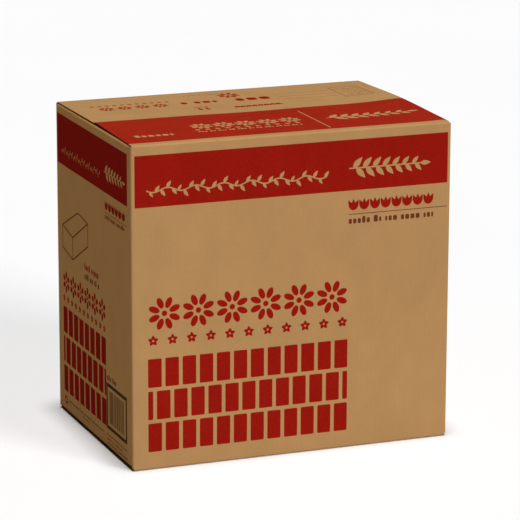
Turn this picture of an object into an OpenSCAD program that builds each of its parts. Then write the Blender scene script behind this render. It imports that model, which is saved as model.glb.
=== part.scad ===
// Corrugated shipping carton with four hinged top flaps, packed with 36 blocks of floral foam.
// Origin: centre of the base, on the surface the carton stands on. +Z is up, -Y is the front.

/* [Foam bricks] */
// Width of one brick, measured along the carton's length
brick_w = 79; // [60:1:100]
// Depth of one brick, measured along the carton's width
brick_d = 111; // [80:1:140]
// Height of one brick, which stands on its end
brick_h = 228; // [150:1:300]
// Radius of a brick's upright edges
brick_edge_r = 1.5; // [0.5:0.5:6]
// Space between neighbouring bricks in a layer
brick_gap = 0.3; // [0.2:0.1:2]

/* [Corrugated board] */
// Thickness of the single-wall board
board_t = 4; // [2:0.5:7]
// Share of its thickness that the crushed glue tab keeps
tab_crush = 0.6; // [0.4:0.05:0.7]
// Width of the glue tab
tab_w = 35; // [20:1:60]
// Taper of the glue tab at its top and bottom
tab_taper = 12; // [0:1:30]
// Distance by which each flap is trimmed at both ends, half of one slot
flap_trim = 2.5; // [0.5:0.5:5]
// Gap between the two outer flaps where they meet
seam_gap = 1; // [0.6:0.2:6]

/* [Fit] */
// Spare length inside the carton, most of it beside the glue tab
spare_length = 6.5; // [6.5:0.5:15]
// Spare width inside the carton
spare_width = 0.4; // [0.4:0.2:6]
// Space over the bricks, under the inner top flaps
headspace = 0.7; // [0.4:0.1:20]
// Thickness of the pressed hot-melt glue
glue_t = 0.3; // [0.2:0.1:0.6]
// Clearance between an outer top flap and the carton under it
flap_clearance = 0.3; // [0.3:0.1:1]

/* [Glue] */
// Width of one bead of hot-melt glue
bead_w = 8; // [4:1:15]
// Length of one bead of hot-melt glue
bead_l = 110; // [60:5:130]

/* [Hidden] */
ROWS = ["front", "middle", "back"];
LAYERS = ["lower", "upper"];
COLUMNS = 6;
BRICKS = [for (layer = LAYERS, row = ROWS, column = [1 : COLUMNS])
    str("brick_", layer, "_", row, "_", column)];

KRAFT = "#b58a57";
KRAFT_INSIDE = "#a87f50";
PRINTED = "#a3271b";
GLUE = "#e6d9a8";
FOAM = "#2f6b3c";
$fn = 48;

// Bricks: place of the block of bricks, and the pitch from one brick to the next
pitch = [brick_w + brick_gap, brick_d + brick_gap, brick_h + brick_gap];
bricks_l = COLUMNS * pitch.x - brick_gap;
bricks_w = len(ROWS) * pitch.y - brick_gap;
bricks_h = len(LAYERS) * pitch.z - brick_gap;

// Carton: outside sizes
tab_t = tab_crush * board_t;
end_gap = 0.5;
joint_setback = 0.5;
carton_l = bricks_l + spare_length + 2 * board_t;
carton_w = bricks_w + spare_width + 2 * board_t;
flap_l = carton_w / 2 - seam_gap / 2;

// Levels, from the base up
inner_bottom_z = board_t + glue_t;
bricks_z = inner_bottom_z + board_t + brick_gap / 3;
inner_top_z = bricks_z + bricks_h + headspace;
bead_top_z = inner_top_z + board_t + glue_t;
outer_top_z = bead_top_z + flap_clearance;
carton_h = outer_top_z + board_t;

// Glue: two beads on each side of the seam on every inner flap
bead_offsets = [0.3, 0.75];
bead_inset = (flap_l - bead_l) / 2;
joint_glue_w = tab_w * 0.6;
tab_end_gap = 4;

// Quarter of a disc in the corner where x and y are both positive
module quarter_disc(r) {
    intersection() {
        circle(r);
        square(r);
    }
}

// Long upright panel on the front side, with a rounded corner at each end.
// Its left corner stands back from the carton's end by the given distance.
module long_panel(set_back = 0) {
    left = -carton_l / 2 + board_t + set_back;
    right = carton_l / 2 - board_t;
    translate([0, -carton_w / 2 + board_t, board_t])
        linear_extrude(bead_top_z - board_t) {
            translate([left, -board_t]) square([right - left, board_t]);
            translate([right, 0]) rotate(-90) quarter_disc(board_t);
            translate([left, 0]) rotate(180) quarter_disc(board_t);
        }
}

// Short upright panel on the left side, between the two long panels.
// Its front edge runs past the inside of the front panel by the given distance.
module short_panel(overlap = 0) {
    low = inner_bottom_z + board_t;
    translate([-carton_l / 2, -carton_w / 2 + board_t - overlap, low])
        cube([board_t, carton_w - 2 * board_t + overlap, inner_top_z - low]);
}

// Flap lying flat with its top at z = 0, its rounded fold along X at y = 0, its free edge at +Y
module flap(fold_l) {
    rotate([90, 0, 90])
        linear_extrude(fold_l, center = true) {
            translate([board_t, -board_t]) square([flap_l - board_t, board_t]);
            translate([board_t, -board_t]) rotate(90) quarter_disc(board_t);
        }
}

module outer_flap() {
    translate([0, -carton_w / 2, 0]) flap(carton_l - 2 * flap_trim);
}

module inner_flap() {
    translate([-carton_l / 2, 0, 0])
        rotate(-90) flap(carton_w - 2 * board_t - 2 * flap_trim);
}

// One pressed bead of glue along X, with round ends, its middle at the origin
module bead(l, w) {
    linear_extrude(glue_t) {
        square([l - w, w], center = true);
        for (side = [-1, 1]) translate([side * (l - w) / 2, 0]) circle(w / 2);
    }
}

// The beads on both inner flaps, at height z
module flap_beads(z) {
    bead_x = carton_l / 2 - bead_inset - bead_l / 2;
    for (side_x = [-1, 1], side_y = [-1, 1], share = bead_offsets)
        translate([side_x * bead_x, side_y * share * (carton_w / 2 - board_t), z])
            bead(bead_l, bead_w);
}

module front_panel() { color(KRAFT) long_panel(); }
module back_panel() { color(KRAFT) rotate(180) long_panel(board_t + glue_t); }
module left_panel() { color(KRAFT) short_panel(); }
module right_panel() { color(KRAFT) rotate(180) short_panel(board_t - joint_setback); }

// Crushed tab folded from the back panel, glued inside the right panel
module glue_tab() {
    low = inner_bottom_z + board_t + tab_end_gap;
    tab_h = inner_top_z - tab_end_gap - low;
    color(KRAFT_INSIDE)
        translate([carton_l / 2 - board_t - glue_t - tab_t, carton_w / 2 - board_t - tab_w, low])
            rotate([90, 0, 90])
                linear_extrude(tab_t)
                    polygon([[0, tab_taper], [tab_w, 0], [tab_w, tab_h], [0, tab_h - tab_taper]]);
}

module joint_glue() {
    low = inner_bottom_z + board_t + tab_end_gap + tab_taper;
    glue_l = inner_top_z - tab_end_gap - tab_taper - low;
    color(GLUE)
        translate([carton_l / 2 - board_t - glue_t, carton_w / 2 - board_t - tab_w / 2, low + glue_l / 2])
            rotate([0, 90, 0]) bead(glue_l, joint_glue_w);
}

module front_top_flap() { color(PRINTED) translate([0, 0, carton_h]) outer_flap(); }
module back_top_flap() { color(KRAFT) translate([0, 0, carton_h]) rotate(180) outer_flap(); }
module front_bottom_flap() { color(KRAFT) mirror([0, 0, 1]) outer_flap(); }
module back_bottom_flap() { color(KRAFT) mirror([0, 0, 1]) rotate(180) outer_flap(); }

module left_top_flap() { color(KRAFT) translate([0, 0, inner_top_z + board_t]) inner_flap(); }
module right_top_flap() { color(KRAFT) translate([0, 0, inner_top_z + board_t]) rotate(180) inner_flap(); }
module left_bottom_flap() { color(KRAFT) translate([0, 0, inner_bottom_z]) mirror([0, 0, 1]) inner_flap(); }
module right_bottom_flap() {
    color(KRAFT) translate([0, 0, inner_bottom_z]) mirror([0, 0, 1]) rotate(180) inner_flap();
}

module bottom_glue_beads() { color(GLUE) flap_beads(board_t); }
module top_glue_beads() { color(GLUE) flap_beads(inner_top_z + board_t); }

// Plan of one brick with rounded upright edges, its corner at the origin
module brick_plan() {
    r = brick_edge_r;
    translate([r, 0]) square([brick_w - 2 * r, brick_d]);
    translate([0, r]) square([brick_w, brick_d - 2 * r]);
    for (x = [r, brick_w - r], y = [r, brick_d - r]) translate([x, y]) circle(r);
}

// Brick number i, counted along the columns, then the rows, then the layers
module brick(i) {
    column = i % COLUMNS;
    row = floor(i / COLUMNS) % len(ROWS);
    layer = floor(i / (COLUMNS * len(ROWS)));
    first = [-carton_l / 2 + board_t + end_gap, -bricks_w / 2, bricks_z];
    color(FOAM)
        translate(first + [column * pitch.x, row * pitch.y, layer * pitch.z])
            linear_extrude(brick_h) brick_plan();
}

front_panel();
back_panel();
left_panel();
right_panel();
glue_tab();
joint_glue();
front_bottom_flap();
back_bottom_flap();
left_bottom_flap();
right_bottom_flap();
front_top_flap();
back_top_flap();
left_top_flap();
right_top_flap();
bottom_glue_beads();
top_glue_beads();
for (i = [0 : len(BRICKS) - 1])
    brick(i);
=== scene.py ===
"""Looks of a closed corrugated carton packed with floral foam bricks, built around its CAD frame."""
import math
import random

import bmesh
import bpy
from mathutils import Matrix, Vector, geometry, noise


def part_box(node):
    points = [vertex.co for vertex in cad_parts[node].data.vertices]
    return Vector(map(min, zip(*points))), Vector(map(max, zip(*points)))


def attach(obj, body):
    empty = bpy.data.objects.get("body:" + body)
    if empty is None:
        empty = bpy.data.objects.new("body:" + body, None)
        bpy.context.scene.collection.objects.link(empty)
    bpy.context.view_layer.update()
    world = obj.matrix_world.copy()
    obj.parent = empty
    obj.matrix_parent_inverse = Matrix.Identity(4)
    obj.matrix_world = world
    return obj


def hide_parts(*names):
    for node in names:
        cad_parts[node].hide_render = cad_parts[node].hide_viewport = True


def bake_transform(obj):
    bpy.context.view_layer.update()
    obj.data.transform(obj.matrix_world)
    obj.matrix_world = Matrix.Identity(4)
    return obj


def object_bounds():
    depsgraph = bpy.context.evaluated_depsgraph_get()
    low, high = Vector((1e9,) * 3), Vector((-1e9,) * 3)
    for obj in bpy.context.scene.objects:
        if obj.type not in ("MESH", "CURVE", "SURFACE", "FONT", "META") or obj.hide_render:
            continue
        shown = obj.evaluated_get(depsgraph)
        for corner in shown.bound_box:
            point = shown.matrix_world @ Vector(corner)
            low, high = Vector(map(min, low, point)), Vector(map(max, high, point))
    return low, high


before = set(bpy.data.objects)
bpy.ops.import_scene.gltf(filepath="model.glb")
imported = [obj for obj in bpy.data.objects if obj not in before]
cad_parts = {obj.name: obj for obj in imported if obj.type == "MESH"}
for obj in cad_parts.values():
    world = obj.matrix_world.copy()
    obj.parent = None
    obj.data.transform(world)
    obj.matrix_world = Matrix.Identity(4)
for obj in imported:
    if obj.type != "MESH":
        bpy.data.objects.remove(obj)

MM = 0.001
cad_low, cad_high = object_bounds()

# -------------------- sizes, from the frame
HALF_L, HALF_W, TOP = cad_high.x, cad_high.y, cad_high.z
flap_low, flap_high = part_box("front_top_flap")
inner_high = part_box("left_top_flap")[1]
BOARD = flap_high.z - flap_low.z            # thickness of the board
FLAP_END = flap_high.x                      # half the length of an outer flap
FLAP_REACH = flap_high.y - flap_low.y       # from the fold to the free edge
INNER_TOP = inner_high.z                    # top of the inner top flaps
INNER_END = inner_high.y                    # half the length of an inner flap
INNER_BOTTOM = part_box("left_bottom_flap")[0].z

# -------------------- the board itself
LINER = 0.35 * MM                           # thickness of one paper facing
MEDIUM = 0.25 * MM                          # thickness of the fluted paper between them
MEDIUM_INSET = 0.2 * MM                     # how far the fluted paper stays behind a cut edge
FLUTE = 7.7 * MM                            # pitch of the flutes
CORNER_R = 3 * MM                           # outer radius of the carton's upright corners
FOLD_R = 3.2 * MM                           # outer radius of the folds of the outer top flaps
CREASE = 8 * MM                             # width of the creased strip on each side of a fold
SHOULDER_R = 2.0 * MM                       # outer radius of the folds of the inner top flaps
RIDGE = 2.3 * MM                            # how high those folds stand up beside the outer flaps' ends
ROLL = 0.4 * MM                             # how far those folds swell outward past the walls
BULGE = 0.55 * MM                           # how far a wall's middle bulges outward
BULGE_VARIES = 0.3 * MM                     # and how much more or less from place to place

# How an outer top flap lies. How much further in its left end is cut, at its fold and at its free edge:
FLAP_SET_IN = {"front": (-0.6 * MM, 2.8 * MM), "back": (-0.8 * MM, 0.2 * MM)}
EDGE_LIFT = 0.5 * MM                        # how far its free edge stands off its flat place
SAG = 0.9 * MM                              # how much lower that edge is at the middle
RIGHT_RISE = 2.4 * MM                       # how much higher that edge is at the right end
END_CURL = 0.7 * MM                         # how much higher the whole right end is
END_CRUSH = 0.5                             # share of its thickness that it loses at both ends
CRUSHED, CUT_AWAY = 10 * MM, 30 * MM        # how far from an end the crush and the cut fade out

# -------------------- how finely the meshes are cut
LONG_STEP = 40 * MM                         # along something straight
WALL_STEP = 22 * MM                         # over a wall
FLAP_STEP = 16 * MM                         # over an outer top flap
CURVE_STEP = 1 * MM                         # round an upright corner
EDGE_WIDTH = 12 * MM                        # the finely cut stretch at the ends of a wall or flap
SHARP = 40                                  # degrees between two faces that meet in a sharp edge

# The four sides: where each one's middle is, its direction to the right as seen from outside,
# and its direction into the carton.
SIDES = {
    "front": ((0, -HALF_W), (1, 0), (0, 1)),
    "back": ((0, HALF_W), (-1, 0), (0, -1)),
    "left": ((-HALF_L, 0), (0, -1), (1, 0)),
    "right": ((HALF_L, 0), (0, 1), (-1, 0)),
}
HALF = {"front": HALF_L, "back": HALF_L, "left": HALF_W, "right": HALF_W}


def at(side, u, p, z):
    """The point u to the right of a side's middle, p inside its outer face, at height z."""
    (ox, oy), (ux, uy), (px, py) = SIDES[side]
    return (ox + u * ux + p * px, oy + u * uy + p * py, z)


def ramp(value, none, full):
    """A smooth share: 0 where value is at none or beyond it, 1 where it is at full or beyond it."""
    t = min(1.0, max(0.0, (value - none) / (full - none)))
    return t * t * (3 - 2 * t)


# -------------------- materials
def srgb(r, g, b):
    """A colour given as it looks on screen, in the linear values that the shader takes."""
    shares = (r / 255, g / 255, b / 255)
    return [c / 12.92 if c <= 0.04045 else ((c + 0.055) / 1.055) ** 2.4 for c in shares] + [1]


def shade(colour, factor):
    """The same colour, so many times as bright."""
    return [min(1, c * factor) for c in colour[:3]] + [1]


class Graph:
    """Short ways to add and link the nodes of one material."""

    def __init__(self, name):
        self.material = bpy.data.materials.new(name)
        self.material.use_nodes = True
        self.tree = self.material.node_tree
        self.shader = next(n for n in self.tree.nodes if n.type == "BSDF_PRINCIPLED")
        self.place = self.add("ShaderNodeTexCoord").outputs["Object"]

    def feed(self, node, inputs):
        """Gives each named or numbered input of a node a plain value or another node's output."""
        for key, value in inputs.items():
            if isinstance(value, (int, float, list, tuple)):
                node.inputs[key].default_value = value
            else:
                self.tree.links.new(value, node.inputs[key])

    def add(self, kind, inputs=None, **settings):
        node = self.tree.nodes.new(kind)
        for key, value in settings.items():
            setattr(node, key, value)
        self.feed(node, inputs or {})
        return node

    def noise(self, scale, stretch=(1, 1, 1), detail=3, rough=0.5):
        """A noise of so many features a metre, squeezed along each axis by stretch."""
        mapping = self.add("ShaderNodeMapping", {"Scale": stretch, "Vector": self.place})
        inputs = {"Scale": scale, "Detail": detail, "Roughness": rough, "Vector": mapping.outputs[0]}
        return self.add("ShaderNodeTexNoise", inputs).outputs["Fac"]

    def math(self, operation, a, b=0.0, clamp=False):
        return self.add("ShaderNodeMath", {0: a, 1: b}, operation=operation, use_clamp=clamp).outputs[0]

    def remap(self, value, low, high, to_low, to_high):
        inputs = {0: value, 1: low, 2: high, 3: to_low, 4: to_high}
        return self.add("ShaderNodeMapRange", inputs).outputs[0]

    def vary(self, noise, to_low, to_high):
        """The middle of a noise's range, stretched out between two values."""
        return self.remap(noise, 0.3, 0.7, to_low, to_high)

    def mix(self, share, a, b):
        return self.add("ShaderNodeMix", {0: share, 6: a, 7: b}, data_type="RGBA").outputs[2]

    def bump(self, height, distance, strength=1.0, under=None):
        inputs = {"Distance": distance, "Strength": strength, "Height": height}
        if under:
            inputs["Normal"] = under
        return self.add("ShaderNodeBump", inputs).outputs[0]

    def finish(self, colour, roughness, shine, normal=None):
        """The finished material."""
        inputs = {"Base Color": colour, "Roughness": roughness, "Specular IOR Level": shine}
        if normal:
            inputs["Normal"] = normal
        self.feed(self.shader, inputs)
        return self.material


def wave(g, axis):
    """The board's faint washboard: one ridge for each flute, across the given axis."""
    split = g.add("ShaderNodeSeparateXYZ", {0: g.place})
    return g.math("SINE", g.math("MULTIPLY", split.outputs[axis], 2 * math.pi / FLUTE))


def paper(name, colour, axis, ink=None, cover=1.0, contrast=1.0):
    """Kraft paper with fibres, flecks and the flutes' washboard, and a flat ink over it if given."""
    g = Graph(name)
    fibre = g.noise(2600, (0.16, 0.16, 1), 4, 0.6)
    cross_fibre = g.noise(1500, (1, 1, 0.3), 3, 0.6)
    mottle = g.noise(26, (1, 1, 0.6), 4, 0.55)
    cloud = g.noise(5.5, (1, 1, 1), 2, 0.5)
    fleck = g.noise(1500, (0.6, 0.6, 1), 2, 0.4)
    ridges = wave(g, axis)
    tone = g.math("ADD", g.vary(fibre, -0.22 * contrast, 0.22 * contrast),
                  g.vary(mottle, -0.12 * contrast, 0.12 * contrast))
    tone = g.math("ADD", tone, g.vary(cloud, 0.44, 0.56))
    # The flutes' ridges also make the colour a little lighter and darker: painted shade of the washboard,
    # besides its bump.
    tone = g.math("ADD", tone, g.math("MULTIPLY", ridges, 0.012 * contrast), clamp=True)
    base = g.mix(tone, shade(colour, 0.80), shade(colour, 1.16))
    specks = g.remap(fleck, 0.69, 0.76, 0.0, 0.5)
    base = g.mix(specks, base, shade(colour, 0.45))
    hairs = g.remap(cross_fibre, 0.69, 0.75, 0.0, 0.35)
    base = g.mix(hairs, base, shade(colour, 1.5))
    if ink:
        full = g.mix(g.vary(mottle, 0.15, 0.85), shade(ink, 0.93), shade(ink, 1.07))
        thin = g.remap(fibre, 0.45, 0.8, cover, cover - 0.07)
        base = g.mix(thin, base, full)
        rough, shine = g.vary(fibre, 0.56, 0.72), 0.0005
    else:
        rough, shine = g.vary(mottle, 0.78, 0.9), 0.002
    waved = g.bump(ridges, 0.013 * MM)
    return g.finish(base, rough, shine, g.bump(fibre, 0.05 * MM, 0.6, waved))


# The Y kraft, for the left and right panels and their flaps, is painted darker than the X kraft: painted
# shade on those sides.
KRAFTS_WITH_SIDE_SHADE = {"X": srgb(159, 122, 79), "Y": srgb(155, 115, 68)}
KRAFT_IN = srgb(150, 113, 75)
MEDIUM_TONE = srgb(112, 81, 51)
# The Y red is painted darker than the X red in the same way: painted shade on the left and right panels.
REDS_WITH_SIDE_SHADE = {"X": srgb(129, 15, 8), "Y": srgb(114, 14, 7)}
# The front top flap's red is lighter than the panels' reds and covers a little less: partly a thinner ink,
# partly a painted sheen of the light from above.
RED_THIN_AND_SHEEN = srgb(138, 19, 9)
RED_DARK = srgb(84, 29, 17)
CARBON = srgb(36, 25, 16)


def board_materials(axis):
    """The papers and inks of one board, whose flutes repeat along the given axis. For Y, the axis of the left
    and right panels and their flaps, the kraft and red are painted darker: painted shade on those sides.
    """
    kraft = KRAFTS_WITH_SIDE_SHADE[axis]
    return {
        "paper": paper("kraft_liner_" + axis, kraft, axis),
        "red": paper("red_ink_" + axis, kraft, axis, REDS_WITH_SIDE_SHADE[axis], 1.0),
        "thin": paper("thin_red_ink_and_sheen_" + axis, kraft, axis, RED_THIN_AND_SHEEN, 0.965),
        "deep": paper("deep_red_ink_" + axis, kraft, axis, RED_DARK, 0.93),
        "carbon": paper("black_ink_" + axis, kraft, axis, CARBON, 0.93),
        "inside": paper("kraft_inside_" + axis, KRAFT_IN, axis),
        "cut": paper("board_cut_edge_" + axis, MEDIUM_TONE, axis, contrast=1.4),
        "torn": paper("torn_fibres_" + axis, srgb(205, 170, 122), axis, contrast=2.2),
    }


INKS = ["paper", "red", "thin", "deep", "carbon", "inside", "cut", "torn"]
PAPERS = {"X": board_materials("X"), "Y": board_materials("Y")}


# -------------------- meshes
def add_object(name, data):
    made = bpy.data.objects.new(name, data)
    bpy.context.scene.collection.objects.link(made)
    return made


def smooth_mesh(name, verts, faces, *materials):
    mesh = bpy.data.meshes.new(name)
    mesh.from_pydata(verts, [], faces)
    for material in materials:
        mesh.materials.append(material)
    mesh.polygons.foreach_set("use_smooth", [True] * len(faces))
    return mesh


def turn_outward(mesh, sharp=None):
    """Turns a closed mesh's faces outward, and marks its edges that are sharper than so many degrees."""
    work = bmesh.new()
    work.from_mesh(mesh)
    bmesh.ops.recalc_face_normals(work, faces=work.faces)
    work.to_mesh(mesh)
    work.free()
    if sharp:
        mesh.set_sharp_from_angle(angle=math.radians(sharp))


class Shells:
    """Closed shells that become one piece."""

    def __init__(self):
        self.verts, self.faces, self.inks = [], [], []

    def add(self, verts, faces, inks):
        start = len(self.verts)
        self.verts += verts
        self.faces += [[i + start for i in f] for f in faces]
        self.inks += inks

    def grid(self, outer, inner, ink, ink_inner):
        """A closed slab between two grids of points with the same rows and columns."""
        rows, cols = len(outer), len(outer[0])
        verts = [p for row in outer for p in row] + [p for row in inner for p in row]
        n = rows * cols
        faces, inks = [], []
        for i in range(rows - 1):
            for j in range(cols - 1):
                a = i * cols + j
                b, c, d = a + 1, a + cols + 1, a + cols
                faces += [[a, b, c, d], [d + n, c + n, b + n, a + n]]
                inks += [ink, ink_inner]
        rim = list(range(cols)) + [i * cols + cols - 1 for i in range(1, rows)]
        rim += [(rows - 1) * cols + j for j in range(cols - 2, -1, -1)]
        rim += [i * cols for i in range(rows - 2, 0, -1)]
        for a, b in zip(rim, rim[1:] + rim[:1]):
            faces.append([b, a, a + n, b + n])
            inks.append("cut")
        self.add(verts, faces, inks)

    def sweep(self, us, outer, inner, place, ink, ink_inner="inside"):
        """A closed slab between two outlines of (p, q), carried along every u and put in place."""
        self.grid([[place(u, *point) for point in outer] for u in us],
                  [[place(u, *point) for point in inner] for u in us], ink, ink_inner)

    def slab(self, us, vs, near, far, place, ink, ink_inner="inside"):
        """A closed slab over every u and v, between the depths near and far."""
        self.sweep(us, [(v, near) for v in vs], [(v, far) for v in vs], place, ink, ink_inner)

    def print(self, layout, place, near, far):
        """A closed slab from a cut-up drawing: near and far are the depths of its two faces."""
        points, triangles, inks = layout
        n = len(points)
        verts = [place(u, v, near) for u, v in points] + [place(u, v, far) for u, v in points]
        faces = list(triangles) + [[c + n, b + n, a + n] for a, b, c in triangles]
        edges = {}
        for a, b, c in triangles:
            for e in ((a, b), (b, c), (c, a)):
                edges[e] = True
        rim = [e for e in edges if (e[1], e[0]) not in edges]
        faces += [[b, a, a + n, b + n] for a, b in rim]
        self.add(verts, faces, inks + ["inside"] * len(triangles) + ["cut"] * len(rim))

    def build(self, name, axis):
        """The shells as one object, with the papers and inks of a board whose flutes repeat along axis."""
        used = [ink for ink in INKS if ink in set(self.inks)]
        mesh = smooth_mesh(name, self.verts, self.faces, *[PAPERS[axis][ink] for ink in used])
        mesh.polygons.foreach_set("material_index", [used.index(ink) for ink in self.inks])
        turn_outward(mesh, SHARP)
        return add_object(name, mesh)


def spread(low, high, step):
    """Evenly spaced values from low to high, no further apart than step."""
    count = max(1, math.ceil((high - low) / step - 1e-6))
    return [low + (high - low) * i / count for i in range(count + 1)]


def spread_ends(low, high, step, fine):
    """The same, but no further apart than fine over the finely cut stretch at each end."""
    middle = spread(low + EDGE_WIDTH, high - EDGE_WIDTH, step)[1:-1]
    return spread(low, low + EDGE_WIDTH, fine) + middle + spread(high - EDGE_WIDTH, high, fine)


def cut_up(box, shapes, columns, rows):
    """Cuts a rectangle along its shapes' outlines and the given columns and rows, into triangles.
    A shape is (points, ink), and a later shape lies over an earlier one. Sizes in millimetres."""
    left, low, right, high = box
    points, edges, faces = [], [], []

    def clip(x, y):
        return (min(right, max(left, x)), min(high, max(low, y)))

    def numbered(outline):
        start = len(points)
        points.extend(outline)
        return list(range(start, start + len(outline)))

    numbered([(left, low), (right, low), (right, high), (left, high)])
    edges += [(0, 1), (1, 2), (2, 3), (3, 0)]
    for x in columns:
        edges.append(tuple(numbered([(x, low), (x, high)])))
    for y in rows:
        edges.append(tuple(numbered([(left, y), (right, y)])))
    for outline, _ in shapes:
        outline = [clip(*p) for p in outline]
        twice_area = sum(a[0] * b[1] - b[0] * a[1] for a, b in zip(outline, outline[1:] + outline[:1]))
        faces.append(numbered(outline if twice_area > 0 else outline[::-1]))
    made = geometry.delaunay_2d_cdt([Vector(p) for p in points], edges, faces, 0, 1e-4, True)
    inks = [shapes[max(ids)][1] if ids else "paper" for ids in made[5]]
    return [(p.x * MM, p.y * MM) for p in made[0]], [list(t) for t in made[2]], inks


# -------------------- printed shapes
# Drawings are in millimetres: x to the right and y down, from the face's top left corner.
def rect(x0, y0, x1, y1):
    return [(x0, y0), (x1, y0), (x1, y1), (x0, y1)]


def pill(x0, y0, x1, y1, r=None, steps=4):
    """A rectangle with round corners, or with round ends if no radius is given."""
    r = min(x1 - x0, y1 - y0) / 2 if r is None else r
    corners = ((x1 - r, y0 + r, -90), (x1 - r, y1 - r, 0), (x0 + r, y1 - r, 90), (x0 + r, y0 + r, 180))
    turns = [(cx, cy, math.radians(a + 90 * i / steps)) for cx, cy, a in corners for i in range(steps + 1)]
    return [(cx + r * math.cos(turn), cy + r * math.sin(turn)) for cx, cy, turn in turns]


def oval(cx, cy, rx, ry, turn=0.0, steps=20):
    c, s = math.cos(turn), math.sin(turn)
    angles = [2 * math.pi * i / steps for i in range(steps)]
    ring = [(rx * math.cos(a), ry * math.sin(a)) for a in angles]
    return [(cx + x * c - y * s, cy + x * s + y * c) for x, y in ring]


def leaf(x, y, length, width, turn, steps=7):
    """A pointed leaf from its stalk at (x, y), in the direction of turn."""
    c, s = math.cos(turn), math.sin(turn)
    up = [(length * i / steps, width / 2 * math.sin(math.pi * (i / steps) ** 0.8)) for i in range(steps + 1)]
    ring = up + [(a, -b) for a, b in up[-2:0:-1]]
    return [(x + a * c - b * s, y + a * s + b * c) for a, b in ring]


def line(x0, y0, x1, y1, width):
    length = math.hypot(x1 - x0, y1 - y0)
    nx, ny = -(y1 - y0) / length * width / 2, (x1 - x0) / length * width / 2
    return [(x0 + nx, y0 + ny), (x1 + nx, y1 + ny), (x1 - nx, y1 - ny), (x0 - nx, y0 - ny)]


def daisy(cx, cy, r, ink, paper_ink="paper", count=8):
    """A simple flower of separate petals round a ring."""
    made = []
    mid = 0.66 * r
    for i in range(count):
        turn = 2 * math.pi * (i + 0.5) / count
        petal = oval(0, 0, 0.34 * r, 1.52 / count * r, turn, 14)
        dx, dy = cx + mid * math.cos(turn), cy + mid * math.sin(turn)
        made.append(([(x + dx, y + dy) for x, y in petal], ink))
    made.append((oval(cx, cy, 0.27 * r, 0.27 * r, 0, 16), paper_ink))
    made.append((oval(cx, cy, 0.17 * r, 0.17 * r, 0, 12), ink))
    return made


def sprig(x0, x1, y, height, ink, pairs=7):
    """A leafy stem lying along x."""
    made = [(line(x0, y, x1 - height * 0.4, y, height * 0.06), ink)]
    step = (x1 - x0 - height * 0.6) / pairs
    for i in range(pairs):
        size = height * (0.62 - 0.22 * i / pairs)
        for side in (-1, 1):
            x = x0 + step * (i + 0.55 + 0.16 * side)
            made.append((leaf(x, y, size, size * 0.42, side * 0.82), ink))
    made.append((leaf(x1 - height * 0.5, y, height * 0.5, height * 0.2, 0), ink))
    return made


def words(x0, x1, y0, y1, ink, seed, longest=7):
    """A line of small blocks in groups, as a stand-in for words."""
    rng = random.Random(seed)
    made, x, h = [], x0, y1 - y0
    left = rng.randint(3, longest)
    while x < x1 - 0.3 * h:
        width = h * rng.choice((0.34, 0.5, 0.5, 0.62))
        top = y0 if rng.random() < 0.3 else y0 + 0.26 * h
        made.append((pill(x, top, min(x1, x + width), y1, h * 0.13, 1), ink))
        left -= 1
        x += width + h * (0.2 if left else 0.62)
        left = left or rng.randint(2, longest)
    return made


def vine(x0, x1, y, height, ink, turns=6.5, weight=1.0):
    """A fine wavy stem along x with small leaves on both sides, drawn bolder with more weight."""
    steps = int(turns * 12)
    swing = height * 0.16

    def on(x):
        return y + swing * math.sin((x - x0) / (x1 - x0) * turns * 2 * math.pi)

    xs = [x0 + (x1 - x0) * i / steps for i in range(steps + 1)]
    half = height * 0.055 * weight
    made = [([(x, on(x) - half) for x in xs] + [(x, on(x) + half) for x in xs[::-1]], ink)]
    leaves = int(turns * 5)
    for i in range(leaves):
        x = x0 + (x1 - x0) * (i + 0.5) / leaves
        side = -1 if i % 2 else 1
        size = height * (0.62 if i % 5 else 0.5)
        made.append((leaf(x, on(x), size, size * 0.44 * weight, side * 0.95), ink))
    return made


def tulips(x0, x1, y0, y1, ink, count):
    """A row of evenly spaced bold tulip heads, each of three upright petals."""
    made = []
    pitch = (x1 - x0) / (count - 0.15)
    height = y1 - y0
    for i in range(count):
        middle = x0 + (i + 0.425) * pitch
        for lean in (-0.42, 0.42, 0):
            foot = middle + lean * height * 0.12
            made.append((leaf(foot, y1, height, pitch * 0.42, lean - math.pi / 2), ink))
    return made


def petals(x0, x1, y, height, ink, count):
    """A spaced row of small five-petalled flowers."""
    made = []
    for i in range(count):
        x = x0 + height / 2 + (x1 - x0 - height) * i / (count - 1)
        for k in range(5):
            turn = 2 * math.pi * k / 5 - math.pi / 2
            start = (x + height * 0.06 * math.cos(turn), y + height * 0.06 * math.sin(turn))
            made.append((leaf(*start, height * 0.46, height * 0.34, turn, 5), ink))
    return made


def brick_wall(x0, y0, x1, y1, columns, rows, gap, ink):
    """Blocks in running bond, standing on end, with half blocks at the ends of every other row."""
    made = []
    pitch_x, pitch_y = (x1 - x0 + gap) / columns, (y1 - y0 + gap) / rows
    for row in range(rows):
        shift = 0.5 * (row % 2)
        for column in range(columns + (row % 2)):
            left = max(x0, x0 + (column - shift) * pitch_x)
            right = min(x1, x0 + (column - shift + 1) * pitch_x - gap)
            top = y0 + row * pitch_y
            made.append((pill(left, top, right, top + pitch_y - gap, 1.6, 2), ink))
    return made


def box_drawing(x0, y0, x1, y1, ink):
    """The outline of one brick lying down, seen from a corner."""
    w, h = x1 - x0, y1 - y0
    near, far = (x0 + 0.4 * w, y1), (x0 + 0.62 * w, y0)
    left, right = (x0, y0 + 0.44 * h), (x1, y0 + 0.08 * h)
    middle, drop = (near[0], y0 + 0.56 * h), 0.44 * h
    low_left, low_right = (x0, left[1] + drop), (x1, right[1] + drop)
    bold = [(left, far), (far, right), (right, middle), (middle, left), (low_left, near), (near, low_right)]
    fine = [(middle, near), (left, low_left), (right, low_right)]
    return [(line(*a, *b, 2.2), ink) for a, b in bold] + [(line(*a, *b, 2.5), ink) for a, b in fine]


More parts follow.
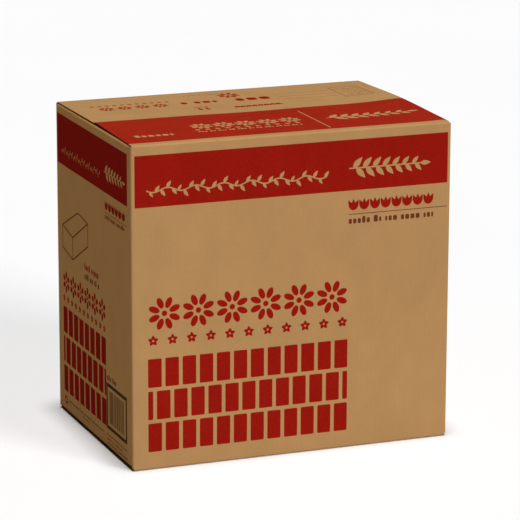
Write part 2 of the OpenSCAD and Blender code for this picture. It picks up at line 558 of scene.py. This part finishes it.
def striped_label(x0, y0, x1, y1, seed):
    """A framed label with plain upright stripes."""
    rng = random.Random(seed)
    made = [(rect(x0, y0, x1, y1), "carbon"), (rect(x0 + 5.5, y0 + 5.5, x1 - 5.5, y1 - 5.5), "paper")]
    x = x0 + 12
    while x < x1 - 13:
        width = rng.choice([0.9, 0.9, 1.8, 2.7])
        made.append((rect(x, y0 + 10, x + width, y1 - 10), "carbon"))
        x += width + rng.choice([0.9, 1.4, 1.9])
    return made


def arrows(x, y, size, ink):
    """Two arrows that point up, over a line."""
    made = [(rect(x, y + size * 0.9, x + size, y + size), ink)]
    for k in (0.26, 0.74):
        cx = x + size * k
        made.append((rect(cx - size * 0.06, y + size * 0.3, cx + size * 0.06, y + size * 0.8), ink))
        made.append(([(cx, y), (cx + size * 0.2, y + size * 0.34), (cx - size * 0.2, y + size * 0.34)], ink))
    return made


def end_print(width, seed):
    """The print of a long panel, front or back."""
    made = [(rect(5.7, 15, width - 5.2, 89.4), "red")]
    made += vine(23, 296, 65.5, 19, "paper")
    made += sprig(330, 458, 57, 34, "paper")
    made += tulips(330, 462, 102, 119, "red", 8)
    made += [(line(330, 124.5, width - 5.2, 124.5, 1.1), "deep")]
    made += words(330, 463, 128.5, 138.5, "deep", seed + 2)
    for i in range(6):
        made += daisy(49 + i * 51.2, 244.5, 25, "red")
    made += petals(24, 329.5, 283.5, 16, "red", 11)
    made += brick_wall(24, 310, 330, 447.5, 12, 3, 5.5, "red")
    return made


def side_print(width, seed):
    """The print of a short panel, left or right. The band runs off its left edge."""
    made = [(rect(6, 14.3, width - 15, 89.5), "red")]
    made += vine(24, 207, 67, 12.5, "paper", weight=0.45)
    made += sprig(226, 319, 59.5, 27, "paper", 6)
    made += tulips(229, 317, 100.5, 114.5, "red", 6)
    made += [(line(229, 118.5, width - 15, 118.5, 1), "deep")]
    made += words(229, 317, 121, 128, "deep", seed + 2)
    made += box_drawing(27, 148, 149, 225, "deep")
    made += words(131, 199, 215.5, 226.5, "red", seed + 4, 5)
    made += words(131, 204, 231, 241, "deep", seed + 5, 3)
    for i in range(6):
        made += daisy(42 + i * 34, 267.5, 16.6, "red", count=6)
    made += petals(25.5, 227, 293.5, 11.5, "red", 11)
    made += brick_wall(26, 307, 227.5, 439, 8, 3, 5.5, "red")
    made += words(232, 280, 358, 367, "deep", seed + 7, 5)
    made += striped_label(228.5, 371, 319, 440.5, seed + 8)
    made += [(oval(34.5, 453, 8, 6.4), "red"), (oval(34.5, 453, 5, 3.8), "paper")]
    made += words(47, 217, 449, 452.6, "deep", seed + 9)
    made += words(114, 146, 455.5, 458.8, "deep", seed + 10, 5)
    for i in range(3):
        made += words(229, 320 - 22 * (i == 1), 448 + 6.4 * i, 451.2 + 6.4 * i, "deep", seed + 11 + i)
    return made


def front_flap_print(width, reach):
    """The print of the front top flap, from the seam down to its fold: a solid colour with a margin."""
    # The solid colour is the lighter red: partly thin ink, partly painted sheen from above.
    made = [(rect(0, 0, width, reach - 14), "thin")]
    made += words(24, 84, 106, 120, "paper", 41, 8)
    for i in range(5):
        made += daisy(137 + i * 34, 76, 17, "paper", "thin")
    made += petals(119, 281, 99, 9, "paper", 11)
    made += words(120, 281, 107.5, 114.5, "paper", 43, 3)
    made += [(line(308, 22, 308, 147, 2), "paper")]
    made += sprig(327, 474, 84, 40, "paper")
    return made


def back_flap_print(width, reach):
    """The print of the back top flap, drawn as it looks from behind: small marks in lines."""
    made = petals(330, 455, 110, 8, "red", 11)
    for i in range(4):
        made += daisy(352 + i * 28, 86, 12.5, "red")
    made += words(262, 322, 78, 97, "red", 52, 3)
    made += arrows(288, 32, 24, "red")
    made += daisy(230, 126, 18, "red")
    made += words(178, 246, 74, 99, "red", 53, 3)
    made += tulips(178, 251, 33, 46, "red", 8)
    made += words(240, 298, 140, 143, "deep", 55, 5)
    for y in (68, 88, 108):
        made += [(line(74, y, 164, y, 1), "deep")]
    made += [(rect(22, 54, 68, 128), "deep"), (rect(23.2, 55.2, 66.8, 126.8), "paper")]
    for i in range(5):
        made += words(27, 62 - 9 * (i % 2), 62 + 12 * i, 65 + 12 * i, "deep", 56 + i, 4)
    return made


def drawing(shapes, half_u, top_v):
    """Shapes of a face's drawing, moved to (u, v): u from the middle of the face, v up, in millimetres."""
    return [([(x - half_u, top_v - y) for x, y in outline], ink) for outline, ink in shapes]


# -------------------- how the outer top flaps lie
def lift(x, reach):
    """How far an outer top flap stands off its flat place, x along the carton and reach from its fold."""
    sag = SAG * ramp(abs(x), 0.48 * HALF_L, 0)
    rise = RIGHT_RISE * ramp(x, 0.62 * HALF_L, HALF_L)
    curl = END_CURL * ramp(x, 0.8 * HALF_L, HALF_L) * ramp(reach, 2 * MM, 16 * MM)
    return (EDGE_LIFT - sag + rise) * ramp(reach, 0, FLAP_REACH) + curl


def flap_place(side):
    """A function from (u, p, q) to the place of a point of an outer top flap: u along the fold,
    p in from the wall's outer face and q down from the flap's outer face."""
    at_fold, at_edge = FLAP_SET_IN[side]
    inward = 1 if side == "front" else -1

    def place(u, p, q):
        x = at(side, u, 0, 0)[0]
        crush = END_CRUSH * ramp(abs(u), FLAP_END - CRUSHED, FLAP_END) * ramp(p, 1 * MM, 4 * MM)
        near_end = ramp(x, CUT_AWAY - FLAP_END, -FLAP_END)
        set_in = (at_fold + (at_edge - at_fold) * p / FLAP_REACH) * near_end
        return at(side, u + inward * set_in, p, TOP - q * (1 - crush) + lift(x, p))
    return place


# -------------------- board pieces
def bulge(u, v, half_u):
    """A wall's slight unevenness, nothing at its edges. Positive is outward."""
    edge = 60 * MM
    window = ramp(abs(u), half_u, half_u - edge) * ramp(v, 0, edge) * ramp(v, TOP, TOP - edge)
    return window * (BULGE + BULGE_VARIES * noise.noise(Vector((u * 7, v * 7, half_u * 40))))


def roll(side, u, z):
    """How far a short side swells outward near its top fold, nothing at the carton's corners."""
    if side in ("front", "back"):
        return 0.0
    end = HALF_W - CORNER_R
    return ROLL * ramp(abs(u), end, end - EDGE_WIDTH) * ramp(z, INNER_TOP - 15 * MM, INNER_TOP - 2 * MM)


def wall(side, print_shapes, low, high, left, right, rounded):
    """An upright panel from u = left to right, as seen from outside, with round corners if asked.
    Its drawing's top left corner is the carton's own corner at the very top."""
    half = HALF[side]
    radius = CORNER_R if rounded else 0
    flat_left, flat_right = left + radius, right - radius
    turn = radius * math.pi / 2
    start, end = flat_left - turn, flat_right + turn

    def place(u, v, d):
        d = d - bulge(u, v, half) - roll(side, u, v)
        flat = min(flat_right, max(flat_left, u))
        if flat == u or not rounded:
            return at(side, u, d, v)
        a, r = (u - flat) / CORNER_R, CORNER_R - d
        return at(side, flat + r * math.sin(a), CORNER_R - r * math.cos(a), v)

    columns = spread_ends(flat_left, flat_right, WALL_STEP, 3 * MM)
    if rounded:
        left_bend, right_bend = spread(start, flat_left, CURVE_STEP), spread(flat_right, end, CURVE_STEP)
        columns = left_bend[:-1] + columns + right_bend[1:]
    rows = spread(low, high - EDGE_WIDTH, WALL_STEP) + spread(high - EDGE_WIDTH, high, 2.5 * MM)[1:]
    box = [start / MM, low / MM, end / MM, high / MM]
    shapes = drawing(print_shapes, half / MM, TOP / MM)
    layout = cut_up(box, shapes, [c / MM for c in columns[1:-1]], [r / MM for r in rows[1:-1]])
    shells = Shells()
    shells.print(layout, place, 0, BOARD)
    return shells, place, (start, flat_left, flat_right, end)


def bend(r, depth, a):
    """The point (p, q) in a fold of outer radius r, so deep in the board, and turned by a from the wall."""
    return (r - (r - depth) * math.cos(a), r - (r - depth) * math.sin(a))


def nose(upright):
    """Outlines of a board's rounded end inside a top fold, as two rows of (p, q), outer and inner.
    The upright end is the wall's, and the other one is the flap's."""
    gap, inner_r = LINER + 0.05 * MM, 2.2 * MM
    outer = [(CREASE, gap)] + [bend(FOLD_R, gap, math.radians(a)) for a in range(90, 14, -15)]
    start = outer[-1][0] + inner_r
    turn = [math.radians(a) for a in (0, 30, 60, 85)]
    inner = [(CREASE * share, BOARD) for share in (1, 0.75, 0.55)]
    inner += [(start - inner_r * math.sin(a), BOARD - inner_r + inner_r * math.cos(a)) for a in turn]
    if upright:
        return [(q, p) for p, q in outer], [(q, p) for p, q in inner]
    return outer, inner



def crease_skin(side):
    """The outer liner over a top fold."""
    arc = [math.radians(90 * i / 8) for i in range(9)]
    strip = [CREASE * share for share in (1, 0.8, 0.6, 0.48)]
    corner = HALF_L - CORNER_R
    place = flap_place(side)

    def row(d):
        """The liner's line over the fold at depth d: up the wall, round the bend and along the flap."""
        return [(d, q) for q in strip] + [bend(FOLD_R, d, a) for a in arc] + [(p, d) for p in strip[::-1]]

    def points(d):
        made = []
        for share in spread(0, 1, 0.018):
            across = []
            for p, q in row(d):
                end = corner + (FLAP_END - corner) * ramp(p - q, -CREASE, CREASE)
                across.append(place(-end + 2 * end * share, p, q))
            made.append(across)
        return made

    shells = Shells()
    shells.grid(points(0), points(LINER), "paper", "inside")
    skin = shells.build(side + "_top_crease", "X")
    start, end = at(side, 0, 0, TOP - 0.8 * CREASE), at(side, 0, 0.8 * CREASE, TOP)
    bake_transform(skin)
    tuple(start)
    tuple(end)


def flap_columns():
    """Places along an outer flap at which its mesh is cut, closer together at its crushed ends."""
    near = [n * MM for n in (0, 1.5, 3, 5, 7.5, 10)]
    middle = spread(-FLAP_END + near[-1], FLAP_END - near[-1], FLAP_STEP)[1:-1]
    return [-FLAP_END + n for n in near] + middle + [FLAP_END - n for n in near[::-1]]


def add_medium(shells, half_u, ps, place):
    """The fluted paper between the liners, its waves along u from -half_u to half_u."""
    swing = (BOARD - 2 * LINER - MEDIUM) / 2

    def waved(u, p, d):
        return place(u, p, BOARD / 2 + swing * math.sin(2 * math.pi * u / FLUTE) + d)

    shells.slab(spread(-half_u, half_u, FLUTE / 12), ps, -MEDIUM / 2, MEDIUM / 2, waved, "cut", "cut")


def outer_top_flap(side, print_shapes):
    """A hinged flap: printed liner, flutes, inner liner, and its rounded end in the fold."""
    place = flap_place(side)

    def place_inner(u, v, d):
        return place(u, v, BOARD - d)

    start, end, reach = CREASE / MM, FLAP_END / MM, FLAP_REACH / MM
    columns = [c / MM for c in flap_columns()][1:-1]
    rows = spread(start, reach, FLAP_STEP / MM)[1:-1]
    box = [-end, start, end, reach]
    shells = Shells()
    shells.print(cut_up(box, drawing(print_shapes, end, reach), columns, rows), place, 0, LINER)
    marks = [(pill(sx * 166 - 55, v0, sx * 166 + 55, v0 + 9, 4, 3), "torn")
             for sx in (-1, 1) for v0 in (37.5, 112.5)]
    points, triangles, inks = cut_up(box, marks, columns, rows)
    inks = ["inside" if ink == "paper" else ink for ink in inks]
    shells.print((points, triangles, inks), place_inner, 0, LINER)
    flute_rows = spread(CREASE, FLAP_REACH - MEDIUM_INSET, FLAP_STEP)
    add_medium(shells, FLAP_END - 4 * MM, flute_rows, place)
    shells.sweep(flap_columns(), *nose(False), place, "cut")
    piece = shells.build(side + "_top_flap_board", "X")
    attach(piece, side + "_top_flap")
    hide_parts(side + "_top_flap")


def squeezed_core(r, flat_start):
    """Outlines of the flutes and inner liner squeezed inside a fold, as two rows of (p, q)."""
    gap = LINER + 0.03 * MM
    outer = [bend(r, gap, math.radians(a)) for a in (2, 20, 40, 60, 80, 90)]
    inner = [(r - 0.5 * MM * (1 - i / len(outer)), r - 0.02 * MM) for i in range(len(outer))]
    return outer + [(flat_start, gap)], inner + [(BOARD + 1.2 * MM, BOARD)]


def folded_flap(side, node, half_u, outer_z, up, axis, r=BOARD):
    """A flap that is folded and stays with the carton. outer_z is the height of its outer face,
    up is 1 for a top flap and -1 for a bottom flap, and r is the outer radius of its fold."""
    turn = r * math.pi / 2
    after_fold = 4 * MM                     # the finely cut stretch behind the fold
    ridge = RIDGE if up > 0 else 0

    def place(u, p, q):
        rise = ridge * ramp(p, 6.5 * MM, 3 * MM)
        out = roll(side, u, outer_z - q) * ramp(p, 9 * MM, 0) if ridge else 0
        return at(side, u, p - out, outer_z - up * q + rise)

    def place_liner(u, s, d):
        """The same for the outer liner: s is along it from the foot of the fold, and d is the depth."""
        return place(u, *bend(r, d, s / r)) if s < turn else place(u, r + s - turn, d)

    shells = Shells()
    us = spread_ends(-half_u, half_u, LONG_STEP, 2 * MM)
    reach = FLAP_REACH - r + turn
    along = spread(0, turn, 0.45 * MM) + spread(turn, turn + after_fold, 0.5 * MM)[1:]
    along += spread(turn + after_fold, reach, LONG_STEP)[1:]
    shells.slab(us, along, 0, LINER, place_liner, "paper")
    flat_start = r + 0.3 * MM
    ps = spread(flat_start, flat_start + after_fold, 0.5 * MM) + [FLAP_REACH - MEDIUM_INSET]
    add_medium(shells, half_u - MEDIUM_INSET, ps, place)
    shells.slab(us, ps + [FLAP_REACH], BOARD - LINER, BOARD, place, "inside")
    shells.sweep(us, *squeezed_core(r, flat_start), place, "cut")
    piece = shells.build(node + "_board", axis)
    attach(piece, "carton")
    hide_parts(node)


def long_wall(side, seed):
    """The front or back panel, with its end in the top fold and its round corners."""
    left = -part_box("back_panel")[1].x if side == "back" else -HALF_L
    high = TOP - CREASE
    shells, place, (start, flat_left, flat_right, end) = wall(
        side, end_print(2 * HALF_L / MM, seed), BOARD, high, left, HALF_L, True)
    panel_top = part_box("front_panel")[1].z
    zs = [high, panel_top, panel_top + 2.2 * MM]
    for u0, u1 in ((start, flat_left), (flat_right, end)):
        shells.slab(spread(u0, u1, CURVE_STEP), zs, 0, CORNER_R - 0.2 * MM, place, "paper")

    def top_place(u, p, q):
        return at(side, u, p, TOP - q)

    shells.sweep(spread(flat_left, flat_right, LONG_STEP), *nose(True), top_place, "inside")
    piece = shells.build(side + "_wall", "X")
    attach(piece, "carton")
    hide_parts(side + "_panel")


def short_wall(side, seed):
    """The left or right panel. The right one ends in the glued corner, with a cut edge."""
    low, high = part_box(side + "_panel")
    cut_edge, cut_width = side == "right", 1.6 * MM
    left = CORNER_R - HALF_W
    right = high.y - cut_width if cut_edge else -left
    top = INNER_TOP + RIDGE - SHOULDER_R
    shells, place, _ = wall(side, side_print(2 * HALF_W / MM, seed), low.z, top, left, right, False)
    if cut_edge:
        zs, depth = spread(low.z, top, WALL_STEP), 1.2 * MM
        shells.slab([right, high.y], zs, 0, LINER, place, "paper")
        shells.slab([right, high.y], zs, BOARD - LINER, BOARD, place, "inside")
        shells.slab([right, high.y - 0.3 * MM], zs, depth, depth + MEDIUM, place, "cut", "cut")
    piece = shells.build(side + "_wall", "Y")
    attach(piece, "carton")
    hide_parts(side + "_panel")


# -------------------- glue, glue tab and bricks
def foam_material():
    """Dry floral foam: fine open cells with painted shade in their pits, soft mottling and a few pale,
    crumbly grains.
    """
    g = Graph("floral_foam")
    cells = g.noise(2300, (1, 1, 1), 2, 0.6)
    grain = g.noise(700, (1, 1, 1), 3, 0.6)
    mottle = g.noise(34, (1, 1, 1), 3, 0.5)
    # The cells make the tone lighter on top and darker down in them: painted shade.
    tone = g.math("ADD", g.vary(mottle, 0.36, 0.64), g.vary(cells, -0.36, 0.36), clamp=True)
    base = g.mix(tone, srgb(42, 76, 45), srgb(70, 108, 66))
    base = g.mix(g.remap(grain, 0.66, 0.74, 0.0, 0.45), base, srgb(112, 144, 104))
    # Darkest down in the cells: painted shade in the pores.
    base = g.mix(g.remap(cells, 0.36, 0.28, 0.0, 0.7), base, srgb(20, 42, 24))
    crumbs = g.bump(grain, 0.25 * MM)
    return g.finish(base, g.vary(grain, 0.88, 0.98), 0.1, g.bump(cells, 0.2 * MM, 0.8, crumbs))


def glue_material():
    """Set hot-melt glue: amber, pale and smooth."""
    g = Graph("hot_melt_glue")
    flow = g.noise(160, (1, 1, 1), 3, 0.5)
    fine = g.noise(900, (1, 1, 1), 2, 0.5)
    base = g.mix(g.vary(flow, 0, 1), srgb(196, 160, 92), srgb(222, 196, 138))
    base = g.mix(g.remap(fine, 0.64, 0.72, 0, 0.5), base, srgb(170, 128, 78))
    return g.finish(base, g.vary(flow, 0.24, 0.42), 0.5, g.bump(flow, 0.12 * MM))


BEAD_L, BEAD_W = 110 * MM, 8 * MM           # a bead between two flaps
BEAD_SHARP = 60                             # degrees


def bead_outline(mid_u, mid_v, length, width, phases, count):
    """Points round a bead that was squeezed flat: a long loop with blunt ends and a wavy edge."""
    made = []
    for i in range(count):
        turn = 2 * math.pi * i / count
        cu, su = math.cos(turn), math.sin(turn)
        wobble = 0.86 + 0.07 * math.sin(5 * turn + phases[0]) + 0.05 * math.sin(11 * turn + phases[1])
        u = math.copysign(abs(cu) ** 0.35, cu) * ((length - width) / 2 + width / 2 * wobble)
        v = math.copysign(abs(su) ** 0.75, su) * width / 2 * wobble
        made.append((mid_u + u, mid_v + v))
    return made


def pressed_beads(name, node, spots, place, material):
    """Beads of glue squeezed flat. A spot is (middle u, middle v, length, width), with u along the bead."""
    rng = random.Random(name)
    verts, faces = [], []
    for mid_u, mid_v, length, width in spots:
        count, start = 96, len(verts)
        phases = [rng.uniform(0, 2 * math.pi) for _ in range(4)]
        outline = bead_outline(mid_u, mid_v, length, width, phases, count)
        inner = [(mid_u + (u - mid_u) * 0.985, mid_v + (v - mid_v) * 0.8) for u, v in outline]
        for ring, share in ((outline, 0.0), (outline, 0.45), (inner, 1.0)):
            verts += [place(u, v, share) for u, v in ring]
        for k in range(2):
            for i in range(count):
                a, b = start + k * count + i, start + k * count + (i + 1) % count
                faces.append([a, b, b + count, a + count])
        faces.append(list(range(start, start + count))[::-1])
        faces.append(list(range(start + 2 * count, start + 3 * count)))
    mesh = smooth_mesh(name, verts, faces, material)
    turn_outward(mesh, BEAD_SHARP)
    piece = add_object(name, mesh)
    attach(piece, "carton")
    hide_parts(node)


def flap_beads(level, material):
    """The beads between outer and inner flaps at one level: two on each side of the seam on an inner flap."""
    low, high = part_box(level + "_glue_beads")
    spots = []
    for side_x in (-1, 1):
        for side_y in (-1, 1):
            for share in (0.3, 0.75):
                x = side_x * (high.x - BEAD_L / 2)
                y = side_y * share * (HALF_W - BOARD)
                spots.append((x, y, BEAD_L, BEAD_W))

    def place(u, v, share):
        return (u, v, low.z + (high.z - low.z) * share)

    pressed_beads(level + "_beads", level + "_glue_beads", spots, place, material)


def joint_bead(material):
    """The upright bead between the glue tab and the right panel."""
    low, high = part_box("joint_glue")

    def place(u, v, share):
        return (high.x - (high.x - low.x) * share, v, u)

    spot = ((low.z + high.z) / 2, (low.y + high.y) / 2, high.z - low.z, high.y - low.y)
    pressed_beads("joint_glue_bead", "joint_glue", [spot], place, material)


def glue_tab():
    """The tapered tab inside the right panel, slightly crushed at its free edge."""
    low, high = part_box("glue_tab")
    taper, crushed, steps = 12 * MM, 6 * MM, 24
    ys = spread(low.y, high.y, 3.5 * MM)

    def row(y, x):
        cut = taper * (1 - (y - low.y) / (high.y - low.y))
        return [(x, y, z) for z in spread(low.z + cut, high.z - cut, (high.z - low.z - 2 * cut) / steps)]

    def crush(y):
        return 0.5 * MM * ramp(y, low.y + crushed, low.y)

    shells = Shells()
    shells.grid([row(y, high.x) for y in ys], [row(y, low.x + crush(y)) for y in ys], "paper", "inside")
    piece = shells.build("glue_tab_board", "Y")
    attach(piece, "carton")
    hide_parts("glue_tab")


BRICK_R = 1.6 * MM                          # radius of a brick's edges
FACE_WEAR, EDGE_WEAR = 0.16 * MM, 0.55 * MM  # how deep its faces and edges are worn


def worn(point, size, shift):
    """A point of a block's surface, rounded off near its edges and worn in by a small uneven depth."""
    core = Vector([min(max(c, BRICK_R), s - BRICK_R) for c, s in zip(point, size)])
    off = point - core
    if off.length > BRICK_R:
        point = core + off.normalized() * BRICK_R
    near = sum(1 for c, s in zip(point, size) if c < 2 * MM or c > s - 2 * MM)
    rough = noise.noise((point + shift) * 90) + 0.5 * noise.noise((point + shift) * 260)
    depth = (FACE_WEAR if near < 2 else EDGE_WEAR) * max(0.0, 0.5 + rough)
    inward = Vector([(s / 2 - c) / s for c, s in zip(point, size)])
    axis = max(range(3), key=lambda a: abs(inward[a]))
    point[axis] += math.copysign(depth, inward[axis])
    return tuple(point)


def brick_mesh(name, size, seed, material):
    """A block of foam from its corner at the origin, with soft, slightly crumbled edges."""
    rng = random.Random(seed)
    shift = Vector([rng.uniform(-9, 9) for _ in range(3)])

    def ticks(length):
        near = [0, 0.4 * MM, 1.0 * MM, BRICK_R]
        middle = spread(BRICK_R, length - BRICK_R, 9 * MM)[1:-1]
        return near + middle + [length - n for n in near[::-1]]

    axes = [ticks(s) for s in size]
    index, verts, faces = {}, [], []

    def vertex(*key):
        if key not in index:
            index[key] = len(verts)
            point = Vector([axis[k] for axis, k in zip(axes, key)])
            verts.append(worn(point, size, shift))
        return index[key]

    last = [len(a) - 1 for a in axes]
    for fixed in range(3):
        a, b = [x for x in range(3) if x != fixed]
        for end in (0, last[fixed]):
            for i in range(last[a]):
                for j in range(last[b]):
                    corners = []
                    for di, dj in ((0, 0), (1, 0), (1, 1), (0, 1)):
                        key = [0, 0, 0]
                        key[fixed], key[a], key[b] = end, i + di, j + dj
                        corners.append(vertex(*key))
                    faces.append(corners)
    mesh = smooth_mesh(name, verts, faces, material)
    turn_outward(mesh)
    return mesh


def bricks():
    """Every brick of foam, from four blocks that differ in their wear."""
    material = foam_material()
    low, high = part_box("brick_lower_front_1")
    meshes = [brick_mesh("foam_block_" + str(k), high - low, 70 + k, material) for k in range(4)]
    count = 0
    for layer in ("lower", "upper"):
        for row in ("front", "middle", "back"):
            for column in range(1, 7):
                node = "_".join(("brick", layer, row, str(column)))
                piece = add_object("foam_" + node, meshes[(count * 7 + count // 6) % 4])
                piece.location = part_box(node)[0]
                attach(piece, "carton")
                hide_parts(node)
                count += 1


# -------------------- stage, light and camera
STAGE_R = 28.0                              # from the object to the far side of the backdrop


def pale_material():
    """The matt, nearly white surface of the floor and the backdrop."""
    g = Graph("pale_floor")
    return g.finish(g.mix(g.noise(1.5), [0.745, 0.748, 0.755, 1], [0.765, 0.768, 0.775, 1]), 0.9, 0.1)


def staged(name, verts, faces, material):
    """A surface round the object that isn't part of it."""
    add_object(name, smooth_mesh(name, verts, faces, material))


def backdrop(material):
    """A low wall all round, far off, that curves up out of the floor."""
    inner, outer, height = 23.0, STAGE_R, 1.9
    around, up = 96, 12
    verts = []
    for i in range(around):
        turn = 2 * math.pi * i / around
        for k in range(up + 1):
            slope = math.pi / 2 * k / up
            radius = inner + (outer - inner) * math.sin(slope)
            verts.append((radius * math.cos(turn), radius * math.sin(turn), height * (1 - math.cos(slope))))
    faces = []
    for i in range(around):
        here, after = i * (up + 1), (i + 1) % around * (up + 1)
        faces += [[here + k, here + k + 1, after + k + 1, after + k] for k in range(up)]
    staged("studio_backdrop", verts, faces, material)


def soft_sun(name, toward, energy, width):
    """Light from far off, from the direction toward, out of a disc of so many degrees."""
    light = bpy.data.lights.new(name, "SUN")
    light.energy = energy
    light.angle = math.radians(width)
    light.color = (1.0, 0.992, 0.985)
    lamp = add_object(name, light)
    lamp.rotation_mode = "QUATERNION"
    lamp.rotation_quaternion = Vector(toward).to_track_quat("Z", "Y")


def studio():
    material = pale_material()
    r = STAGE_R
    staged("studio_floor", [(-r, -r, 0), (r, -r, 0), (r, r, 0), (-r, r, 0)], [[0, 1, 2, 3]], material)
    backdrop(material)
    world = bpy.data.worlds.new("studio_world")
    world.use_nodes = True
    world.node_tree.nodes["Background"].inputs["Color"].default_value = (1.0, 0.94, 0.86, 1)
    world.node_tree.nodes["Background"].inputs["Strength"].default_value = 0.02
    bpy.context.scene.world = world
    soft_sun("key_light", (0.46, -0.84, 0.28), 2.56, 24)
    soft_sun("overhead_light", (0.0, -0.03, 1), 3.34, 10)


def camera():
    azimuth, elevation, roll_angle = [math.radians(a) for a in (-21.32, 14.14, 0.17)]
    distance = 4.502
    aim = Vector((0.0145, -0.0024, 0.2486))
    flat = math.cos(elevation)
    back = Vector((math.sin(azimuth) * flat, -math.cos(azimuth) * flat, math.sin(elevation)))
    data = bpy.data.cameras.new("camera")
    data.lens, data.sensor_width = 209.9, 36
    data.clip_start, data.clip_end = 0.05, 200
    made = add_object("camera", data)
    made.rotation_mode = "QUATERNION"
    level = back.to_track_quat("Z", "Y")
    made.rotation_quaternion = level @ Matrix.Rotation(roll_angle, 3, "Z").to_quaternion()
    made.location = aim + back * distance
    bpy.context.scene.camera = made


bpy.context.scene.view_settings.view_transform = "Standard"
studio()
camera()

# -------------------- the carton
long_wall("front", 11)
long_wall("back", 11)
short_wall("left", 21)
short_wall("right", 21)
outer_top_flap("front", front_flap_print(2 * FLAP_END / MM, FLAP_REACH / MM))
outer_top_flap("back", back_flap_print(2 * FLAP_END / MM, FLAP_REACH / MM))
for name in ("front", "back"):
    crease_skin(name)
for name in ("left", "right"):
    folded_flap(name, name + "_top_flap", INNER_END + 0.8 * MM, INNER_TOP, 1, "Y", SHOULDER_R)
    folded_flap(name, name + "_bottom_flap", INNER_END, INNER_BOTTOM, -1, "Y")
for name in ("front", "back"):
    folded_flap(name, name + "_bottom_flap", FLAP_END, 0, -1, "X")

glue = glue_material()
for name in ("bottom", "top"):
    flap_beads(name, glue)
joint_bead(glue)
glue_tab()
bricks()
